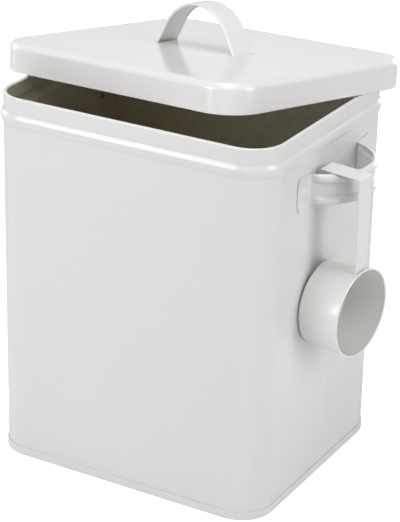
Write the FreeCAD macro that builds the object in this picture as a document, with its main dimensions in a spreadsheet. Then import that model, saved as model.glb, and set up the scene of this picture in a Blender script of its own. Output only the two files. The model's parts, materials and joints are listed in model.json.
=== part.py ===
# Pet food bin of painted sheet steel: a lidded bin with two strap handles, and a scoop that
# hangs on the right handle. Millimetres, +Z up, +X towards the scoop, the front faces -Y.
# The origin is the middle of the bin's footprint, on the surface it stands on.
import FreeCAD, Part
import math
import os
import Sketcher

SIZES = (
    ("bin_width", 240.0, "wall outside, left to right"),
    ("bin_depth", 206.0, "wall outside, front to back"),
    ("bin_height", 305.0, "rim above the surface"),
    ("corner_radius", 27.0, "upright corners of the wall, outside"),
    ("gauge", 0.8, "sheet of the wall, base, lid and cup"),
    ("fit_gap", 0.4, "between pieces that rest on each other"),
    ("seam_gap", 0.1, "between the wall and the fold that grips it"),
    ("curl_size", 3.0, "rolled rim, across the roll"),
    ("bead_drop", 13.0, "rim down to the pressed bead"),
    ("bead_height", 11.0, "pressed bead, up the wall"),
    ("bead_bulge", 1.8, "pressed bead, out from the wall"),
    ("seam_height", 7.0, "folded seam round the base"),
    ("floor_rise", 6.0, "inside floor above the surface"),
    ("side_seam_shift", 13.2, "upright weld seam behind the middle of the right side"),
    ("side_seam_width", 0.6, "upright weld seam, across"),
    ("side_seam_depth", 0.3, "upright weld seam, into the wall"),
    ("handle_shift", 5.8, "side handles behind the middle of their sides"),
    ("strap_height", 24.5, "side handle strap round the bow, upright"),
    ("strap_gauge", 0.9, "sheet of the side handles"),
    ("strap_drop", 37.15, "rim down to the strap's top edge"),
    ("bow_radius", 41.8, "outside of the handle's bow"),
    ("bow_inset", 12.5, "centre of the bow behind the wall's face"),
    ("bend_radius", 1.0, "inside of the bend from plate to bow"),
    ("plate_land", 20.5, "flat plate, from its bend to its end"),
    ("plate_height", 28.6, "flared end of the plate, upright"),
    ("plate_round", 4.0, "rise of the plate's rounded end"),
    ("rib_height", 7.1, "pressed rib along each edge of the strap"),
    ("rib_bulge", 3.0, "pressed rib, out from the strap"),
    ("rib_sweep", 128.0, "degrees of the bow that the ribs cover"),
    ("rivet_land", 9.5, "from the bend to the middle of a rivet"),
    ("rivet_shank", 1.6, "shank radius"),
    ("rivet_head", 2.6, "head radius"),
    ("rivet_rise", 1.1, "domed head, out from the plate"),
    ("rivet_tail", 2.4, "flattened tail radius"),
    ("rivet_gap", 0.05, "shank to hole"),
    ("lid_overhang", 4.0, "lid outside the wall on each side"),
    ("lid_height", 23.4, "lid, skirt edge to top"),
    ("lid_corner", 28.8, "upright corners of the lid"),
    ("lid_edge", 5.5, "rounded top edge of the lid"),
    ("hem_height", 4.0, "edge of the skirt folded inwards"),
    ("grip_span", 82.6, "lid handle where it meets the lid, outside"),
    ("grip_rise", 36.0, "lid handle above the lid"),
    ("grip_lean", 61.0, "degrees between the handle's legs and the lid"),
    ("grip_width", 23.1, "lid handle strap, across"),
    ("grip_gauge", 0.9, "sheet of the lid handle"),
    ("grip_roll", 2.4, "rolled edges of the strap, deep and wide"),
    ("grip_tab", 11.0, "tab folded out under the lid"),
    ("slot_gap", 0.7, "lid handle to its slot"),
    ("rest_front", 53.4, "bin's middle forward to where the lid's front skirt crosses the left rim"),
    ("rest_yaw", -12.5, "degrees the lid is turned from square"),
    ("lean_angle", 113.1, "degrees from +X to the direction in which the lid lies lowest"),
    ("rest_back_gap", 2.8, "lid plate above the rim at its lowest"),
    ("cup_mouth", 35.8, "scoop mouth radius"),
    ("cup_base", 34.3, "scoop base radius"),
    ("cup_depth", 36.3, "scoop, mouth to base"),
    ("cup_bead", 1.8, "rolled edge of the mouth"),
    ("cup_corner", 3.0, "rounded edge of the base"),
    ("hook_width", 16.2, "hook strip, across"),
    ("hook_gauge", 0.9, "sheet of the hook strip"),
    ("hook_back", 2.2, "mouth back to the outer face of the strip"),
    ("hook_rise", 112.8, "cup axis up to the top of the hook"),
    ("lip_behind", 2.0, "outer face of the hook's lip behind the base of the cup"),
    ("hook_lip", 16.0, "lip turned down at the end of the hook"),
    ("hook_bend", 1.0, "inside of the hook's bends"),
    ("tongue_width", 12.0, "tongue welded on the cup"),
    ("tongue_length", 9.0, "tongue along the outside of the cup"),
    ("scoop_forward", 15.5, "scoop in front of the middle of the right side"),
    ("scoop_yaw", -6.2, "degrees the hanging scoop turns about Z"),
    ("scoop_pitch", 1.0, "degrees it tips about Y"),
    ("scoop_roll", 2.4, "degrees it leans about X"),
)

# Formulas that several pieces share.
WALL_OUT = "Dim.bin_width / 2"
WALL_IN = "Dim.bin_width / 2 - Dim.gauge"
BEAD_TOP = "Dim.bin_height - Dim.bead_drop"
BEAD_MIDDLE = "Dim.bin_height - Dim.bead_drop - Dim.bead_height / 2"
BEAD_BOTTOM = "Dim.bin_height - Dim.bead_drop - Dim.bead_height"
HANDLE_MIDDLE = "Dim.bin_height - Dim.strap_drop - Dim.strap_height / 2"
STRAP_MIDDLE = "(Dim.strap_gauge / 2)"
BOW_MIDDLE = "(Dim.bow_radius - Dim.strap_gauge / 2)"
BEND_MIDDLE = "(Dim.bend_radius + Dim.strap_gauge / 2)"
BEND_OUT = f"({STRAP_MIDDLE} + {BEND_MIDDLE})"
BEND_ALONG = f"sqrt(({BOW_MIDDLE} + {BEND_MIDDLE}) ^ 2 - ({BEND_OUT} + Dim.bow_inset) ^ 2)"
PLATE_END = f"({BEND_ALONG} + Dim.plate_land)"
RIVET_ALONG = f"({BEND_ALONG} + Dim.rivet_land)"
RIVET_HOLE = "Dim.rivet_shank + Dim.rivet_gap"
LID_WIDTH = "(Dim.bin_width + 2 * Dim.lid_overhang)"
LID_DEPTH = "(Dim.bin_depth + 2 * Dim.lid_overhang)"
PLATE_UNDER = "(Dim.lid_height - Dim.gauge)"

document = FreeCAD.newDocument("PetFoodBin")
sheet = document.addObject("Spreadsheet::Sheet", "Dim")
for row, (alias, size, note) in enumerate(SIZES, start=1):
    sheet.set(f"A{row}", note)
    sheet.set(f"B{row}", str(size))
    sheet.setAlias(f"B{row}", alias)
document.recompute()


def value(formula):
    return float(sheet.evalExpression(formula)) if isinstance(formula, str) else formula


def arcRadius(chord, rise):
    return f"(({chord}) ^ 2 / 4 + ({rise}) ^ 2) / (2 * ({rise}))"


def newBody(name):
    body = document.addObject("PartDesign::Body", name)
    body.Label = name
    return body


def newSketch(body, name, role, offset=None):
    sketch = body.newObject("Sketcher::SketchObject", name)
    plane = next(item for item in body.Origin.OriginFeatures if item.Role == role)
    sketch.AttachmentSupport = [(plane, "")]
    sketch.MapMode = "FlatFace"
    if offset:
        sketch.setExpression("AttachmentOffset.Base.z", offset)
    return sketch


def hold(sketch, kind, *references, formula):
    rule = sketch.addConstraint(Sketcher.Constraint(kind, *references, value(formula)))
    sketch.setExpression(f"Constraints[{rule}]", formula)


# Draws a chain of lines and arcs from corners. A corner is two formulas, its x and y. Where an
# arc leaves it, a point on the arc and the formula of the arc's radius follow.
def outline(sketch, corners, closed=True):
    spots = [FreeCAD.Vector(value(corner[0]), value(corner[1]), 0) for corner in corners]
    edge_count = len(corners) if closed else len(corners) - 1
    ends = []
    for n in range(edge_count):
        here, there = spots[n], spots[(n + 1) % len(spots)]
        if len(corners[n]) == 2:
            edge = sketch.addGeometry(Part.LineSegment(here, there))
        else:
            via = FreeCAD.Vector(value(corners[n][2]), value(corners[n][3]), 0)
            edge = sketch.addGeometry(Part.Arc(here, via, there))
        starts_here = sketch.getPoint(edge, 1).distanceToPoint(here) < 1e-6
        ends.append((edge, 1, 2) if starts_here else (edge, 2, 1))
    for n, (edge, first, last) in enumerate(ends):
        if n + 1 < len(ends) or closed:
            following = ends[(n + 1) % len(ends)]
            joint = Sketcher.Constraint("Coincident", edge, last, following[0], following[1])
            sketch.addConstraint(joint)
        hold(sketch, "DistanceX", -1, 1, edge, first, formula=corners[n][0])
        hold(sketch, "DistanceY", -1, 1, edge, first, formula=corners[n][1])
        if len(corners[n]) > 2:
            hold(sketch, "Radius", edge, formula=corners[n][4])
    if not closed:
        edge, _, last = ends[-1]
        hold(sketch, "DistanceX", -1, 1, edge, last, formula=corners[-1][0])
        hold(sketch, "DistanceY", -1, 1, edge, last, formula=corners[-1][1])


# A rectangle about the origin with rounded corners, grown outwards by a margin.
def roundedRectangle(sketch, width, depth, radius, margin="0"):
    far_x, far_y = f"({width}) / 2 + {margin}", f"({depth}) / 2 + {margin}"
    round_off = f"({radius}) + {margin}"
    near_x, near_y = f"({width}) / 2 - ({radius})", f"({depth}) / 2 - ({radius})"
    diagonal = value(round_off) * math.sqrt(0.5)
    via_x, via_y = value(near_x) + diagonal, value(near_y) + diagonal
    outline(sketch, (
        (f"-({near_x})", f"-({far_y})"),
        (near_x, f"-({far_y})", via_x, -via_y, round_off),
        (far_x, f"-({near_y})"),
        (far_x, near_y, via_x, via_y, round_off),
        (near_x, far_y),
        (f"-({near_x})", far_y, -via_x, via_y, round_off),
        (f"-({far_x})", near_y),
        (f"-({far_x})", f"-({near_y})", -via_x, -via_y, round_off),
    ))


def rectangle(sketch, left, right, bottom, top):
    outline(sketch, ((left, bottom), (right, bottom), (right, top), (left, top)))


def circle(sketch, across, up, radius):
    centre = FreeCAD.Vector(value(across), value(up), 0)
    edge = sketch.addGeometry(Part.Circle(centre, FreeCAD.Vector(0, 0, 1), value(radius)))
    hold(sketch, "DistanceX", -1, 1, edge, 3, formula=across)
    hold(sketch, "DistanceY", -1, 1, edge, 3, formula=up)
    hold(sketch, "Radius", edge, formula=radius)


def extrude(body, kind, name, sketch, length, **settings):
    feature = body.newObject(f"PartDesign::{kind}", name)
    feature.Profile = sketch
    if length == "through":
        feature.Type = "ThroughAll"
    else:
        feature.setExpression("Length", length)
    for setting, choice in settings.items():
        setattr(feature, setting, choice)
    document.recompute()
    return feature


def sweep(body, name, profile, path):
    feature = body.newObject("PartDesign::AdditivePipe", name)
    feature.Profile = profile
    feature.Spine = path
    document.recompute()
    return feature


# Turns a sketch about its own construction line, evenly to both sides of its plane.
def revolve(body, kind, name, sketch, angle):
    feature = body.newObject(f"PartDesign::{kind}", name)
    feature.Profile = sketch
    feature.ReferenceAxis = (sketch, ["Axis0"])
    feature.Midplane = True
    feature.setExpression("Angle", angle)
    document.recompute()
    return feature


def axisLine(sketch, start, end):
    corners = [FreeCAD.Vector(value(x), value(y), 0) for x, y in (start, end)]
    edge = sketch.addGeometry(Part.LineSegment(*corners), True)
    for position, (across, up) in ((1, start), (2, end)):
        hold(sketch, "DistanceX", -1, 1, edge, position, formula=across)
        hold(sketch, "DistanceY", -1, 1, edge, position, formula=up)


def roundEdges(body, name, base, radius, test):
    chosen = [f"Edge{n}" for n, edge in enumerate(base.Shape.Edges, start=1) if test(edge)]
    feature = body.newObject("PartDesign::Fillet", name)
    feature.Base = (base, chosen)
    feature.setExpression("Radius", radius)
    document.recompute()
    return feature


def level(edge, height, axis="z"):
    return all(abs(getattr(v.Point, axis) - height) < 1e-4 for v in edge.Vertexes)


# The wall is one wrapped sheet: a bead is pressed into it below the rim, its upper edge is
# rolled inwards, and its ends are welded in an upright seam on the right side.
def binWall():
    body = newBody("bin_wall")
    path = newSketch(body, "WallPath", "XY_Plane")
    roundedRectangle(path, "Dim.bin_width", "Dim.bin_depth", "Dim.corner_radius")
    profile = newSketch(body, "WallProfile", "XZ_Plane")
    curl_side = "Dim.bin_height - Dim.curl_size / 2"
    curl_middle = f"{WALL_OUT} - Dim.curl_size / 2"
    bead_radius = arcRadius("Dim.bead_height", "Dim.bead_bulge")
    foot = "Dim.gauge + Dim.seam_gap"
    outline(profile, (
        (WALL_OUT, foot),
        (WALL_OUT, BEAD_BOTTOM, f"{WALL_OUT} + Dim.bead_bulge", BEAD_MIDDLE, bead_radius),
        (WALL_OUT, BEAD_TOP),
        (WALL_OUT, curl_side, f"{WALL_OUT} - Dim.curl_size", curl_side, "Dim.curl_size / 2"),
        (curl_middle, "Dim.bin_height - Dim.curl_size"),
        (curl_middle, "Dim.bin_height - Dim.curl_size + Dim.gauge",
         f"{WALL_OUT} - Dim.curl_size + Dim.gauge", curl_side, "Dim.curl_size / 2 - Dim.gauge"),
        (WALL_IN, curl_side),
        (WALL_IN, BEAD_TOP, f"{WALL_IN} + Dim.bead_bulge", BEAD_MIDDLE, bead_radius),
        (WALL_IN, BEAD_BOTTOM),
        (WALL_IN, foot),
    ))
    sweep(body, "Wall", profile, path)
    seam = newSketch(body, "SideSeamSketch", "YZ_Plane", WALL_OUT)
    rectangle(seam, "Dim.side_seam_shift - Dim.side_seam_width / 2",
              "Dim.side_seam_shift + Dim.side_seam_width / 2", "Dim.seam_height", BEAD_BOTTOM)
    extrude(body, "Pocket", "SideSeam", seam, "Dim.side_seam_depth")
    holes = newSketch(body, "RivetHoleSketch", "YZ_Plane")
    circle(holes, f"Dim.handle_shift + {RIVET_ALONG}", HANDLE_MIDDLE, RIVET_HOLE)
    circle(holes, f"Dim.handle_shift - {RIVET_ALONG}", HANDLE_MIDDLE, RIVET_HOLE)
    extrude(body, "Pocket", "RivetHoles", holes, "through", Midplane=True)
    return body


# The base is a pan whose edge folds under the wall and up its outside, so the bin stands on
# the fold and the floor is clear of the surface.
def basePan():
    body = newBody("base_pan")
    fold = newSketch(body, "FoldSketch", "XY_Plane")
    roundedRectangle(fold, "Dim.bin_width", "Dim.bin_depth", "Dim.corner_radius",
                     "(Dim.seam_gap + Dim.gauge)")
    extrude(body, "Pad", "Fold", fold, "Dim.seam_height")
    groove = newSketch(body, "GrooveSketch", "XY_Plane", "Dim.seam_height")
    size = ("Dim.bin_width", "Dim.bin_depth", "Dim.corner_radius")
    roundedRectangle(groove, *size, "Dim.seam_gap")
    roundedRectangle(groove, *size, "(-Dim.gauge - Dim.seam_gap)")
    extrude(body, "Pocket", "WallGroove", groove, "Dim.seam_height - Dim.gauge")
    inside = newSketch(body, "InsideSketch", "XY_Plane", "Dim.seam_height")
    roundedRectangle(inside, *size, "(-Dim.gauge)")
    extrude(body, "Pocket", "FloorTop", inside, "Dim.seam_height - Dim.floor_rise")
    under = newSketch(body, "UnderSketch", "XY_Plane")
    roundedRectangle(under, *size, "(-2 * Dim.gauge - Dim.seam_gap)")
    extrude(body, "Pocket", "FloorUnder", under, "Dim.floor_rise - Dim.gauge", Reversed=True)
    return body


# A side handle in its own frame: the wall's face is the plane x = 0 and +X points outwards.
# Its strap runs from one flared plate round the bow to the other, with a rib along each edge.
def sideHandle(name, side):
    body = newBody(name)
    share = f"({BOW_MIDDLE} / ({BOW_MIDDLE} + {BEND_MIDDLE}))"
    join_out = f"({share} * ({BEND_OUT} + Dim.bow_inset) - Dim.bow_inset)"
    join_along = f"({share} * {BEND_ALONG})"
    # A point on the bend's arc, halfway round from the plate to the bow.
    halfway = math.atan2(value(BEND_ALONG), value(f"{BEND_OUT} + Dim.bow_inset")) / 2
    via_out = value(BEND_OUT) - value(BEND_MIDDLE) * math.cos(halfway)
    via_along = value(BEND_ALONG) - value(BEND_MIDDLE) * math.sin(halfway)
    path = newSketch(body, f"{name}_path", "XY_Plane")
    outline(path, (
        (STRAP_MIDDLE, f"-{PLATE_END}"),
        (STRAP_MIDDLE, f"-{BEND_ALONG}", via_out, -via_along, BEND_MIDDLE),
        (join_out, f"-{join_along}", f"{BOW_MIDDLE} - Dim.bow_inset", 0.0, BOW_MIDDLE),
        (join_out, join_along, via_out, via_along, BEND_MIDDLE),
        (STRAP_MIDDLE, BEND_ALONG),
        (STRAP_MIDDLE, PLATE_END),
    ), closed=False)
    section = newSketch(body, f"{name}_section", "XZ_Plane", PLATE_END)
    rectangle(section, "0", "Dim.strap_gauge", "-Dim.plate_height / 2", "Dim.plate_height / 2")
    sweep(body, f"{name}_strap", section, path)

    # Everything outside this outline is cut away: it is low round the bow and flares to the ends.
    trim = newSketch(body, f"{name}_trim_sketch", "YZ_Plane")
    shoulder = f"({PLATE_END} - Dim.plate_round)"
    end_radius = arcRadius("Dim.plate_height", "Dim.plate_round")
    low, high = "Dim.strap_height / 2", "Dim.plate_height / 2"
    outline(trim, (
        (f"-{BEND_ALONG}", f"-{low}"), (BEND_ALONG, f"-{low}"),
        (shoulder, f"-{high}", PLATE_END, 0.0, end_radius),
        (shoulder, high), (BEND_ALONG, low), (f"-{BEND_ALONG}", low),
        (f"-{shoulder}", high, f"-{PLATE_END}", 0.0, end_radius),
        (f"-{shoulder}", f"-{high}"),
    ))
    beyond = f"({PLATE_END} + Dim.plate_round)"
    rectangle(trim, f"-{beyond}", beyond, "-Dim.plate_height", "Dim.plate_height")
    extrude(body, "Pocket", f"{name}_trim", trim, "through", Midplane=True)

    face_out = "Dim.bow_radius - Dim.bow_inset"
    face_in = "Dim.bow_radius - Dim.bow_inset - Dim.strap_gauge"
    for kind, word, face, back, margin in (
            ("Revolution", "rib", face_out, f"{face_out} - Dim.strap_gauge / 2", "0"),
            ("Groove", "hollow", face_in, f"{face_in} - Dim.strap_gauge", "Dim.strap_gauge")):
        radius = arcRadius(f"(Dim.rib_height - 2 * {margin})", "Dim.rib_bulge")
        for place in (-1, 1):
            rib = newSketch(body, f"{name}_{word}_{place + 1}_sketch", "XZ_Plane")
            inner = f"{place} * (Dim.strap_height / 2 - Dim.rib_height + {margin})"
            outer = f"{place} * (Dim.strap_height / 2 - {margin})"
            crest = f"{place} * (Dim.strap_height / 2 - Dim.rib_height / 2)"
            outline(rib, ((face, inner, f"{face} + Dim.rib_bulge", crest, radius),
                          (face, outer), (back, outer), (back, inner)))
            axisLine(rib, ("-Dim.bow_inset", "-Dim.strap_height"),
                     ("-Dim.bow_inset", "Dim.strap_height"))
            revolve(body, kind, f"{name}_{word}_{place + 1}", rib, "Dim.rib_sweep")

    holes = newSketch(body, f"{name}_hole_sketch", "YZ_Plane")
    circle(holes, RIVET_ALONG, "0", RIVET_HOLE)
    circle(holes, f"-{RIVET_ALONG}", "0", RIVET_HOLE)
    extrude(body, "Pocket", f"{name}_holes", holes, "through", Midplane=True)
    body.Placement = onSide(side)
    bindSide(body, side)
    return body


def onSide(side):
    turn = FreeCAD.Rotation(FreeCAD.Vector(0, 0, 1), 0 if side > 0 else 180)
    return FreeCAD.Placement(FreeCAD.Vector(0, 0, 0), turn)


def bindSide(item, side):
    item.setExpression("Placement.Base.x", f"{side} * {WALL_OUT}")
    item.setExpression("Placement.Base.y", "Dim.handle_shift")
    item.setExpression("Placement.Base.z", HANDLE_MIDDLE)


# A rivet stands along its handle's +X: tail inside the wall, domed head outside the plate.
def rivet(name, along):
    outwards = FreeCAD.Rotation(FreeCAD.Vector(0, 1, 0), 90)
    shank = document.addObject("Part::Cylinder", f"{name}_shank")
    shank.setExpression("Radius", "Dim.rivet_shank")
    shank.setExpression("Height", "Dim.gauge + Dim.strap_gauge")
    tail = document.addObject("Part::Cylinder", f"{name}_tail")
    tail.setExpression("Radius", "Dim.rivet_tail")
    tail.setExpression("Height", "Dim.gauge")
    head = document.addObject("Part::Ellipsoid", f"{name}_head")
    head.setExpression("Radius1", "Dim.rivet_rise")
    head.setExpression("Radius2", "Dim.rivet_head")
    head.setExpression("Radius3", "Dim.rivet_head")
    head.Angle1 = 0
    for piece, start in ((shank, "-Dim.gauge"), (tail, "-2 * Dim.gauge"), (head, "Dim.strap_gauge")):
        piece.Placement = FreeCAD.Placement(FreeCAD.Vector(0, 0, 0), outwards)
        piece.setExpression("Placement.Base.x", start)
    whole = document.addObject("Part::MultiFuse", name)
    whole.Shapes = [tail, shank, head]
    whole.setExpression("Placement.Base.y", along)
    return whole


def rivetPair(name, side):
    pair = document.addObject("Part::Compound", name)
    pair.Label = name
    pair.Links = [rivet(f"{name}_front", f"-{RIVET_ALONG}"), rivet(f"{name}_back", RIVET_ALONG)]
    pair.Placement = onSide(side)
    bindSide(pair, side)
    return pair


# The lid lies askew: the inner edge of its front skirt crosses the left rim, that of its right
# skirt crosses the right rim, and its plate comes lowest over the rounded back left corner.
# Each time it touches the rim's round roll where the two run alike, which a few rounds settle.
def lidPlacement():
    roll = value("Dim.curl_size / 2")
    reach = roll + value("Dim.fit_gap")
    side, level_of_roll = value(WALL_OUT) - roll, value("Dim.bin_height") - roll
    way, turn = math.radians(value("Dim.lean_angle")), math.radians(value("Dim.rest_yaw"))
    downhill = FreeCAD.Vector(math.cos(way), math.sin(way), 0)
    corner = value("Dim.corner_radius")
    back = FreeCAD.Vector(corner, value("Dim.bin_depth / 2 - Dim.corner_radius"), level_of_roll)
    back += downhill * (corner - roll) - FreeCAD.Vector(value(WALL_OUT), 0, 0)
    under_plate = value(f"{PLATE_UNDER} - Dim.rest_back_gap") - roll
    along, rearwards, drop = FreeCAD.Vector(1, 0, 0), FreeCAD.Vector(0, 1, 0), 0.0
    for _ in range(12):
        left = touchOnRoll(along) * reach + FreeCAD.Vector(-side, value("-Dim.rest_front"), level_of_roll)
        rise = math.sqrt(1 - drop ** 2)
        drop = (under_plate - rise * (back.z - left.z)) / (back - left).dot(downhill)
        up = downhill * drop + FreeCAD.Vector(0, 0, math.sqrt(1 - drop ** 2))
        along = FreeCAD.Vector(math.cos(turn), math.sin(turn), 0)
        along = (along - up * along.dot(up)).normalize()
        rearwards = up.cross(along)
    right = touchOnRoll(rearwards) * reach + FreeCAD.Vector(side, left.y, level_of_roll)
    right.y -= up.dot(right - left) / up.y
    skirt = 2 * value("Dim.gauge")
    shift_along = along.dot(right - left) - value(LID_WIDTH) / 2 + skirt
    origin = left + along * shift_along + rearwards * (value(LID_DEPTH) / 2 - skirt)
    return FreeCAD.Placement(origin, FreeCAD.Rotation(along, rearwards, up, "ZXY"))


# The way from the middle of a roll that runs along Y to where an edge touches it from above.
def touchOnRoll(edge):
    if abs(edge.x) < 1e-9:
        return FreeCAD.Vector(0, 0, 1)
    return FreeCAD.Vector(-edge.z, 0, edge.x).normalize() * math.copysign(1, edge.x)


# The outside of the lid handle in its plane: legs leaning at one angle, tangent to a crown.
GRIP_RUN = "tan(90 - Dim.grip_lean)"
GRIP_CROWN = ("((Dim.grip_span / 2 * sin(Dim.grip_lean) - Dim.grip_rise * cos(Dim.grip_lean))"
              " / (1 - cos(Dim.grip_lean)))")


# The lid is a pressed pan with a rounded edge, and its skirt has a folded hem.
def lidPan():
    body = newBody("lid_pan")
    block = newSketch(body, "LidSketch", "XY_Plane")
    roundedRectangle(block, LID_WIDTH, LID_DEPTH, "Dim.lid_corner")
    pad = extrude(body, "Pad", "LidBlock", block, "Dim.lid_height")
    rounded = roundEdges(body, "LidEdge", pad, "Dim.lid_edge",
                         lambda edge: level(edge, value("Dim.lid_height")))
    hollow = body.newObject("PartDesign::Thickness", "LidHollow")
    opening = next(n for n, face in enumerate(rounded.Shape.Faces, start=1)
                   if face.CenterOfMass.z < 1e-4)
    hollow.Base = (rounded, [f"Face{opening}"])
    hollow.setExpression("Value", "Dim.gauge")
    hollow.Reversed = True
    document.recompute()
    hem = newSketch(body, "HemSketch", "XY_Plane")
    roundedRectangle(hem, LID_WIDTH, LID_DEPTH, "Dim.lid_corner", "(-Dim.gauge / 2)")
    roundedRectangle(hem, LID_WIDTH, LID_DEPTH, "Dim.lid_corner", "(-2 * Dim.gauge)")
    extrude(body, "Pad", "Hem", hem, "Dim.hem_height")
    slots = newSketch(body, "SlotSketch", "XY_Plane", PLATE_UNDER)
    inner = "(Dim.grip_span / 2 - Dim.grip_roll / sin(Dim.grip_lean) - Dim.slot_gap)"
    outer = f"(Dim.grip_span / 2 + Dim.gauge * {GRIP_RUN} + Dim.slot_gap)"
    half = "(Dim.grip_width / 2 + Dim.slot_gap)"
    rectangle(slots, inner, outer, f"-{half}", half)
    rectangle(slots, f"-{outer}", f"-{inner}", f"-{half}", half)
    extrude(body, "Pocket", "HandleSlots", slots, "2 * Dim.gauge", Reversed=True)
    body.Placement = lidPlacement()
    return body


# The corners of one side of the strap, which lies in from its outer face by a depth, from the
# right foot over the crown to the left foot.
def gripSide(depth, foot):
    crown = f"({GRIP_CROWN} - {depth})"
    centre = f"(Dim.lid_height + Dim.grip_rise - {GRIP_CROWN})"
    leg_top = f"{centre} + {crown} * cos(Dim.grip_lean)"
    leg_out = f"{crown} * sin(Dim.grip_lean)"
    foot_out = f"({leg_out} + ({leg_top} - ({foot})) * {GRIP_RUN})"
    return ((foot_out, foot), (leg_out, leg_top, 0.0, f"{centre} + {crown}", crown),
            (f"-({leg_out})", leg_top), (f"-{foot_out}", foot))


# The same side walked the other way, so that two sides close an outline.
def backwards(side):
    (foot_out, foot), (out, top, via_x, via_y, radius), left_top, left_foot = side
    return (left_foot, left_top + (via_x, via_y, radius), (out, top), (foot_out, foot))


# The lid handle is a strap with rolled edges. It passes through the slots, and a tab at each
# end is folded outwards under the lid.
def lidHandle():
    body = newBody("lid_handle")
    foot = f"({PLATE_UNDER} - Dim.grip_gauge)"
    strap = newSketch(body, "GripSketch", "XZ_Plane")
    outline(strap, gripSide("0", foot) + backwards(gripSide("Dim.grip_roll", foot)))
    extrude(body, "Pad", "GripStrap", strap, "Dim.grip_width", Midplane=True)
    channel = newSketch(body, "GripChannelSketch", "XZ_Plane")
    below = f"({foot} - Dim.grip_gauge)"
    outline(channel, gripSide("Dim.grip_gauge", below) + backwards(gripSide("(2 * Dim.grip_roll)", below)))
    extrude(body, "Pocket", "GripChannel", channel, "Dim.grip_width - 2 * Dim.grip_roll", Midplane=True)
    tabs = newSketch(body, "GripTabSketch", "XZ_Plane")
    bend = f"({gripSide('Dim.grip_gauge', foot)[0][0]})"
    tip = "(Dim.grip_span / 2 + Dim.grip_tab)"
    rectangle(tabs, bend, tip, foot, PLATE_UNDER)
    rectangle(tabs, f"-{tip}", f"-{bend}", foot, PLATE_UNDER)
    extrude(body, "Pad", "GripTabs", tabs, "Dim.grip_width", Midplane=True)
    body.Placement = lidPlacement()
    return body


# The hanging scoop: its frame is the middle of the mouth, with +X out of the mouth. The cup's
# base leans on the wall, and the hook's underside rests on the handle's top edge.
def scoopPlacement():
    turn = FreeCAD.Rotation(value("Dim.scoop_yaw"), value("Dim.scoop_pitch"), value("Dim.scoop_roll"))
    gap = value("Dim.fit_gap")
    axis = turn.multVec(FreeCAD.Vector(1, 0, 0))
    corner = value("Dim.cup_corner")
    lean = (value("Dim.cup_depth") - corner) * axis.x + corner
    lean += (value("Dim.cup_base") - corner) * math.hypot(axis.y, axis.z)
    place = FreeCAD.Vector(value(WALL_OUT) + gap + lean, value("-Dim.scoop_forward"), 0)
    bow_centre = FreeCAD.Vector(value(f"{WALL_OUT} - Dim.bow_inset"), value("Dim.handle_shift"), 0)
    lowest = math.inf
    for side in (-1, 1):
        edge = FreeCAD.Vector(0, side * value("Dim.hook_width / 2"), value("Dim.hook_rise - Dim.hook_gauge"))
        edge = place + turn.multVec(edge)
        lowest = min(lowest, edge.z + axis.z * crossing(edge - bow_centre, axis, value("Dim.bow_radius")))
    place.z = value("Dim.bin_height - Dim.strap_drop") + gap - lowest
    return FreeCAD.Placement(place, turn)


# How far along its direction, in plan, a line last crosses a circle about the origin.
def crossing(start, direction, radius):
    length = direction.x ** 2 + direction.y ** 2
    middle = -(start.x * direction.x + start.y * direction.y) / length
    spread = middle ** 2 - (start.x ** 2 + start.y ** 2 - radius ** 2) / length
    return middle + math.sqrt(max(spread, 0.0))


def scoopCup():
    body = newBody("scoop_cup")
    profile = newSketch(body, "CupSketch", "XZ_Plane")
    bead = "Dim.cup_bead / 2"
    outline(profile, (
        ("-Dim.cup_depth", "0"),
        ("-Dim.cup_depth", "Dim.cup_base"),
        (f"-{bead}", f"Dim.cup_mouth - {bead} + Dim.gauge / 2"),
        (f"-{bead}", f"Dim.cup_mouth - {bead} - Dim.gauge / 2"),
        ("-Dim.cup_depth + Dim.gauge", "Dim.cup_base - Dim.gauge"),
        ("-Dim.cup_depth + Dim.gauge", "0"),
    ))
    axisLine(profile, ("-Dim.cup_depth", "0"), ("0", "0"))
    shell = revolve(body, "Revolution", "CupShell", profile, "360")
    outside, inside = value("-Dim.cup_depth"), value("-Dim.cup_depth + Dim.gauge")
    outer = roundEdges(body, "CupCorner", shell, "Dim.cup_corner",
                       lambda edge: level(edge, outside, "x") and edge.BoundBox.ZLength > 1)
    roundEdges(body, "CupInnerCorner", outer, "Dim.cup_corner - Dim.gauge",
               lambda edge: level(edge, inside, "x") and edge.BoundBox.ZLength > 1)
    edge = newSketch(body, "CupBeadSketch", "XZ_Plane")
    circle(edge, f"-{bead}", f"Dim.cup_mouth - {bead}", bead)
    axisLine(edge, ("-Dim.cup_depth", "0"), ("0", "0"))
    revolve(body, "Revolution", "CupBead", edge, "360")
    body.Placement = scoopPlacement()
    return body


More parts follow.
